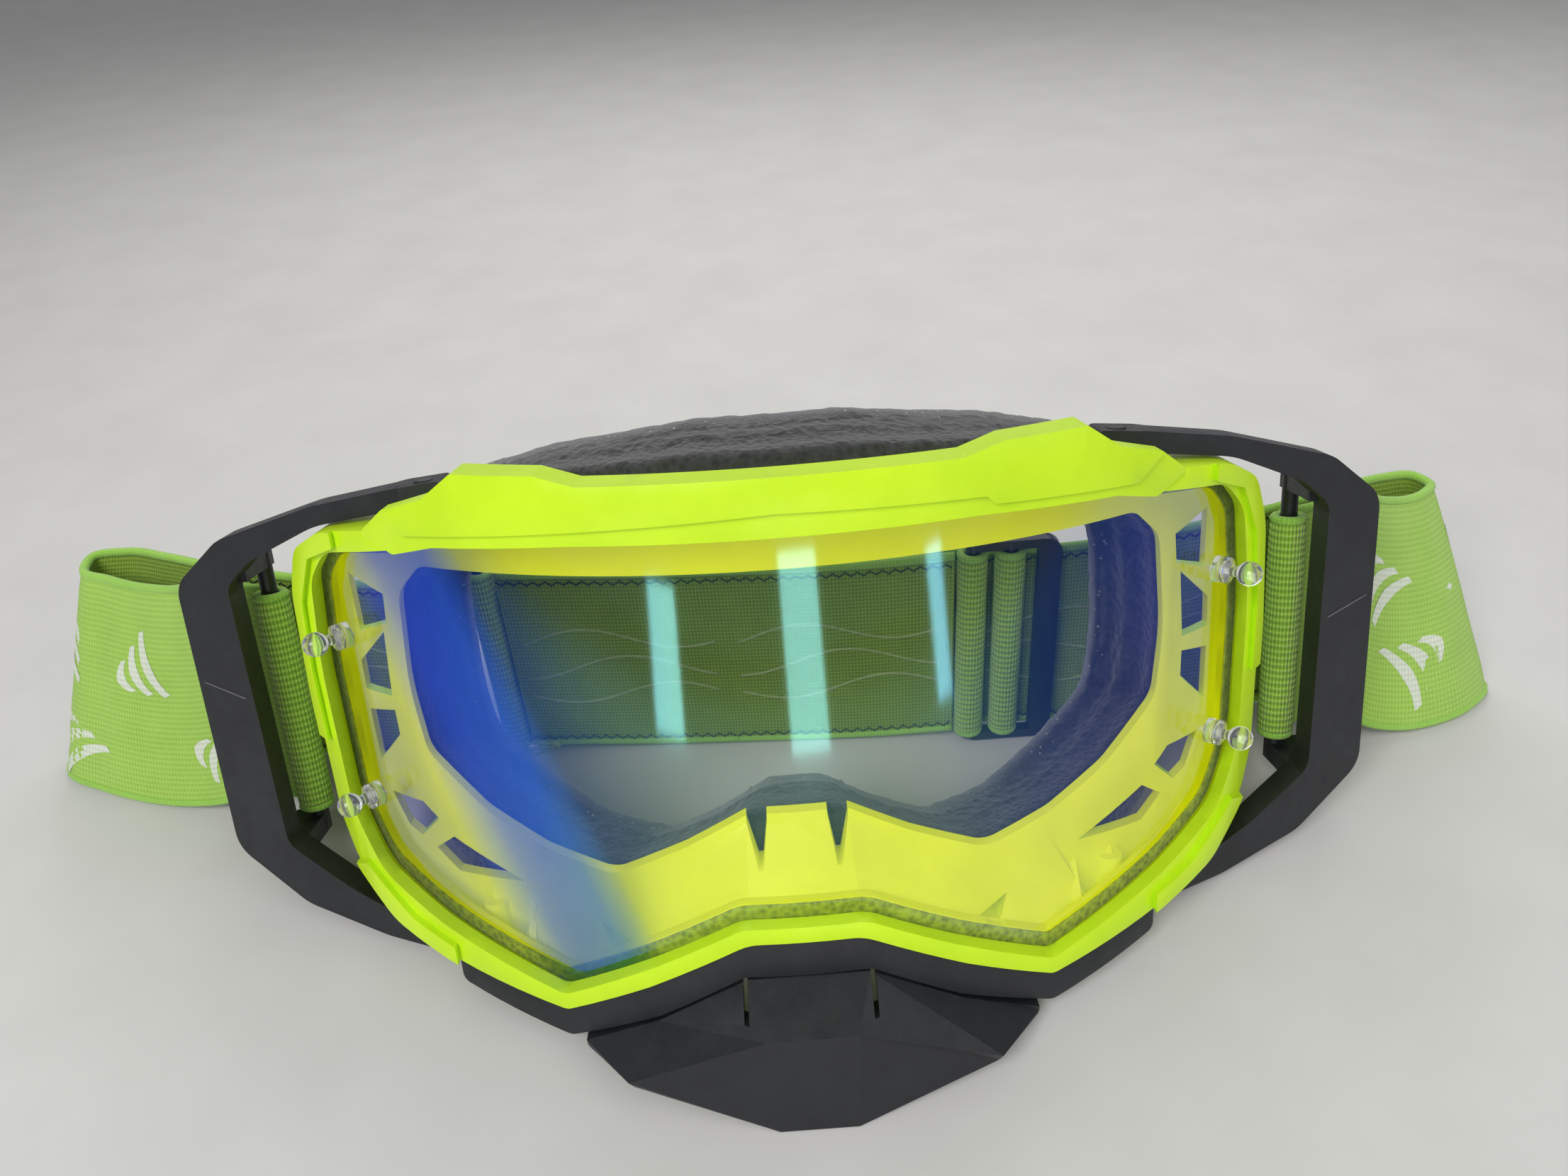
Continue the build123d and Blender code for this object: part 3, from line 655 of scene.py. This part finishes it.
LOOSE_WEB = [
    ("strap_left_side", left_side, 11, LEFT_MARKS, ("strap_left",), "outrigger_left", "eyepiece"),
    ("strap_left_back", left_back, 12, (), ("strap_left",), "eyepiece", "joining_ring"),
    ("strap_right_side", right_side, 13, RIGHT_MARKS, ("strap_right",), "outrigger_right", "eyepiece"),
    ("strap_right_back", right_back, 14, (), ("strap_right",), "eyepiece", None),
    ("strap_right_tail", right_tail, 15, (), ("strap_right",), "eyepiece", "joining_ring"),
    ("strap_return_near_ring", return_a, 16, (), ("strap_return",), "joining_ring", "eyepiece"),
    ("strap_return_near_adjuster", return_b, 17, (), ("strap_return",), "eyepiece", "adjuster"),
]
for name, run, seed, marks, nodes, first, second in LOOSE_WEB:
    on_side = name.endswith("side")
    piece = web_piece(name, run, seed, marks, stitches=() if on_side else ("low", "high"), grip=not on_side)
    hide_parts(*nodes)
    if second is None:
        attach(piece, first)
    else:
        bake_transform(piece)
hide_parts("strap_end_left")
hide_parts("strap_end_right")


# ---- webbing rolled round the side arms' rods and the buckles' bars ----------------------------
RIB = 1.3                    # spacing of the ribs along a roll, mm
ARM_ROLL_R, BAR_ROLL_R = 3.3, 3.0   # outer radii of the rolls on the side arms and on the bars, mm


def roll_piece(name, low, high, radius, body, nodes, seed):
    """Webbing wrapped round an upright bar: a ribbed, slightly uneven tube with piped ends."""
    mesh = Mesh()
    low, high = np.array(low), np.array(high)
    axis = (high - low) / np.linalg.norm(high - low)
    side = np.cross(axis, (0.0, 1.0, 0.0))
    side /= np.linalg.norm(side)
    front = np.cross(axis, side)
    around, levels = 40, 150
    for reach, slot, flip in ((radius, OUTER_SLOT, False), (radius - WEB_THICK, INNER_SLOT, True)):
        surface, uvs = [], []
        for j in range(levels + 1):
            v = j / levels
            centre = low + (high - low) * v
            line = []
            for k in range(around + 1):
                angle = 2 * math.pi * (k % around) / around
                spot = Vector((math.cos(angle) * 2, math.sin(angle) * 2, v * 6 + seed))
                lump = 1 + 0.035 * noise.noise(spot)
                lump -= 0.06 * math.exp(-((min(v, 1 - v) / 0.03) ** 2))
                lump += 0.018 * math.sin(2 * math.pi * v * WEB_MM / RIB + 0.5 * math.sin(3 * angle))
                line.append(centre + (side * math.cos(angle) + front * math.sin(angle)) * reach * lump)
            surface.append(line)
            uvs.append([(2 * math.pi * reach / MM * k / around, v * WEB_MM) for k in range(around + 1)])
        mesh.grid(surface, uvs, slot, flip)
    middle = radius - WEB_THICK / 2
    for end in (low + axis * 0.4 * MM, high - axis * 0.4 * MM):
        turns = np.linspace(0, 2 * math.pi, 33)
        ring = [end + (side * math.cos(a) + front * math.sin(a)) * middle for a in turns]
        mesh.tube(ring, PIPING_R * 0.92, PIPING_SLOT, 8, closed_ends=False)
    piece = mesh.build(name, ROLL_MATERIALS)
    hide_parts(*nodes)
    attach(piece, body)


def bar_ends(node):
    """Bottom and top of the axis of a roll, from its CAD node, which leans back a little."""
    low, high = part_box(node)
    reach = (high.x - low.x) / 2
    x = (low.x + high.x) / 2
    return (x, low.y + reach, low.z + 0.3 * MM), (x, high.y - reach, high.z - 0.3 * MM)


for side, word in ((-1, "left"), (1, "right")):
    roll_low, roll_high = (on_eyepiece(side * ROD_X, 50, z) for z in (ROLL_LOW, ROLL_HIGH))
    roll_piece(f"strap_roll_{word}", roll_low, roll_high, ARM_ROLL_R * MM,
               f"outrigger_{word}", [f"strap_end_{word}"], 21 + side)
for node, body, seed in (("strap_wrap_right", "adjuster", 31), ("strap_return_loop", "adjuster", 33),
                         ("strap_wrap_left", "joining_ring", 35), ("strap_left_loop", "joining_ring", 37)):
    roll_piece(f"{node}_webbing", *bar_ends(node), BAR_ROLL_R * MM, body, [node], seed)


# ---- small details: rub marks on the side arms, and the loose thread bow --------------------------
RUB = thread("rub_mark", (0.16, 0.16, 0.16))
ARM_FRONT_SLOPE = 0.396      # how far back the side arm's front runs per mm outwards


def rub_mark(side, word):
    """A faint scratch across a side arm's broad part."""
    mesh = Mesh()
    line = []
    for f in np.linspace(0, 1, 9):
        x = 99.4 + 8.6 * f
        line.append(on_eyepiece(side * x, 22.6 + (x - 63) * ARM_FRONT_SLOPE, 2.0 + 2.6 * f))
    mesh.tube(line, 0.14 * MM, 0, 6)
    piece = mesh.build(f"rub_mark_{word}", (RUB,))
    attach(piece, f"outrigger_{word}")


def thread_bow():
    """A bow of loose thread at the end of the run, where the stitching was tied off."""
    mesh = Mesh()
    x, y, z = -52.5, 87.2, 4.2
    for reach, drop, spread in ((6.5, 1.2, 1.1), (8.0, -0.6, 0.8)):
        loop = []
        for a in np.linspace(0, 2 * math.pi, 25):
            along = reach * (1 - math.cos(a)) / 2
            across = spread * math.sin(a)
            loop.append(on_table(x - along, y - 0.12 * along, z + across - drop * along / 4))
        mesh.tube(loop, 0.28 * MM, 0, 6, closed_ends=False)
    knot = [on_table(x - 0.4 + f, y + 0.1, z + 0.5 * math.sin(3 * f)) for f in np.linspace(0, 1.6, 7)]
    mesh.tube(knot, 0.6 * MM, 0, 8)
    piece = mesh.build("thread_bow", (THREAD_GREEN,))
    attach(piece, "joining_ring")


for side, word in ((-1, "left"), (1, "right")):
    rub_mark(side, word)
thread_bow()


# ---- the face foam --------------------------------------------------------------------------------
FOAM_DEPTHS = (18.0, 24.0)           # where the foam's second and third layers begin, in mm
FOAM_RADII = (106.0, 100.0)
FOAM_GRAIN = (0.06, 0.22, 0.16)      # how rough each layer's surface is, in mm
SEAM_DEPTH, SEAM_WIDTH = 0.25, 0.6   # the seam between the first and second layers, in mm
FOAM_NODES = ("foam_base", "foam_middle", "foam_fleece")


def face_foam():
    """The three foam layers as one soft body: remeshed, its edges rounded, its surface broken up."""
    source = bmesh.new()
    for node in FOAM_NODES:
        source.from_mesh(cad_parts[node].data)
    mesh = bpy.data.meshes.new("face_foam")
    source.to_mesh(mesh)
    source.free()
    piece = bpy.data.objects.new("face_foam", mesh)
    bpy.context.scene.collection.objects.link(piece)
    remesh = piece.modifiers.new("remesh", "REMESH")
    remesh.mode = "VOXEL"
    remesh.voxel_size = 1.2 * MM
    relax = piece.modifiers.new("relax", "SMOOTH")
    relax.iterations = 8
    graph = bpy.context.evaluated_depsgraph_get()
    baked = bpy.data.meshes.new_from_object(piece.evaluated_get(graph))
    piece.modifiers.clear()
    piece.data = baked
    back = (on_eyepiece(0, 1, 0) - on_eyepiece(0, 0, 0)).normalized()
    origin = on_eyepiece(0, 0, 0)
    depths = []
    for vertex in baked.vertices:
        reach = (vertex.co - origin) / MM
        y = reach.dot(back)
        layer = []
        for start, radius in zip(FOAM_DEPTHS, FOAM_RADII):
            layer.append(y - (start + radius - math.sqrt(max(radius * radius - reach.x ** 2, 1))))
        level = 0 if layer[0] < 0 else 1 if layer[1] < 0 else 2
        depths.append(level)
        seam = math.exp(-((layer[0] / SEAM_WIDTH) ** 2))
        grain = FOAM_GRAIN[level] * MM
        spot = vertex.co * 480
        rough = noise.noise(spot) + 0.6 * noise.noise(spot * 2.3)
        vertex.co += vertex.normal * (grain * rough - SEAM_DEPTH * MM * seam)
    for material in (FOAM_FRONT, FOAM_BACK, FLEECE):
        baked.materials.append(material)
    for face in baked.polygons:
        face.material_index = max(depths[v] for v in face.vertices)
        face.use_smooth = True
    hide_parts(*FOAM_NODES)
    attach(piece, "eyepiece")


face_foam()


# ---- floor and lights ---------------------------------------------------------------------------------
FLOOR_REACH = 3              # metres from the middle to each side
WINDOW_DISTANCE = 0.5        # metres from the lens to each light that shows in it


def make_floor():
    reach = FLOOR_REACH
    corners = [(-reach, -reach, 0), (reach, -reach, 0), (reach, reach, 0), (-reach, reach, 0)]
    floor = new_object("floor", corners, [[0, 1, 2, 3]])
    s = Shader("pale_floor")
    mottle = s.noise(s.place(), 30, 3)
    s.drive("Base Color", mottle, [(0.3, (0.60, 0.59, 0.57)), (0.7, (0.64, 0.63, 0.61))])
    s.set(Roughness=0.75, Specular_IOR_Level=0.2)
    floor.data.materials.append(s.material)


def area_light(name, place, target, size, power):
    data = bpy.data.lights.new(name, "AREA")
    data.shape = "RECTANGLE"
    data.size, data.size_y = size
    data.energy = power
    light = bpy.data.objects.new(name, data)
    bpy.context.scene.collection.objects.link(light)
    light.location = place
    light.rotation_euler = (Vector(target) - Vector(place)).to_track_quat("-Z", "Y").to_euler()


def seen_in_lens(x, z, distance):
    """Where a light has to stand for the camera to see it reflected at a place on the lens."""
    y = LENS_R - math.sqrt(LENS_R ** 2 - x ** 2)
    spot = on_eyepiece(x, y, z)
    normal = (spot - on_eyepiece(0, LENS_R, z)).normalized()
    to_camera = (camera.matrix_world.translation - spot).normalized()
    out = 2 * normal.dot(to_camera) * normal - to_camera
    return spot + out * distance, spot


def make_lights():
    area_light("key", on_table(-300, -420, 620), on_table(0, 40, 40), (0.4, 0.4), 4.2)
    area_light("fill", on_table(480, -260, 480), on_table(0, 40, 40), (0.6, 0.6), 1.3)
    area_light("rim", on_table(60, 520, 480), on_table(0, 60, 60), (0.7, 0.35), 2.0)
    for x, z, width, tall, power in ((-18, 16, 0.05, 0.10, 0.10), (3, 16, 0.07, 0.13, 0.16),
                                     (24, 16, 0.03, 0.12, 0.07)):
        place, spot = seen_in_lens(x, z, WINDOW_DISTANCE)
        area_light(f"window_{x}", place, spot, (width, tall), power)
    world = bpy.data.worlds.new("studio")
    world.use_nodes = True
    back = world.node_tree.nodes["Background"]
    back.inputs["Color"].default_value = (0.86, 0.87, 0.90, 1)
    back.inputs["Strength"].default_value = 0.30
    bpy.context.scene.world = world
    bpy.context.scene.view_settings.view_transform = "Standard"


make_floor()
make_lights()
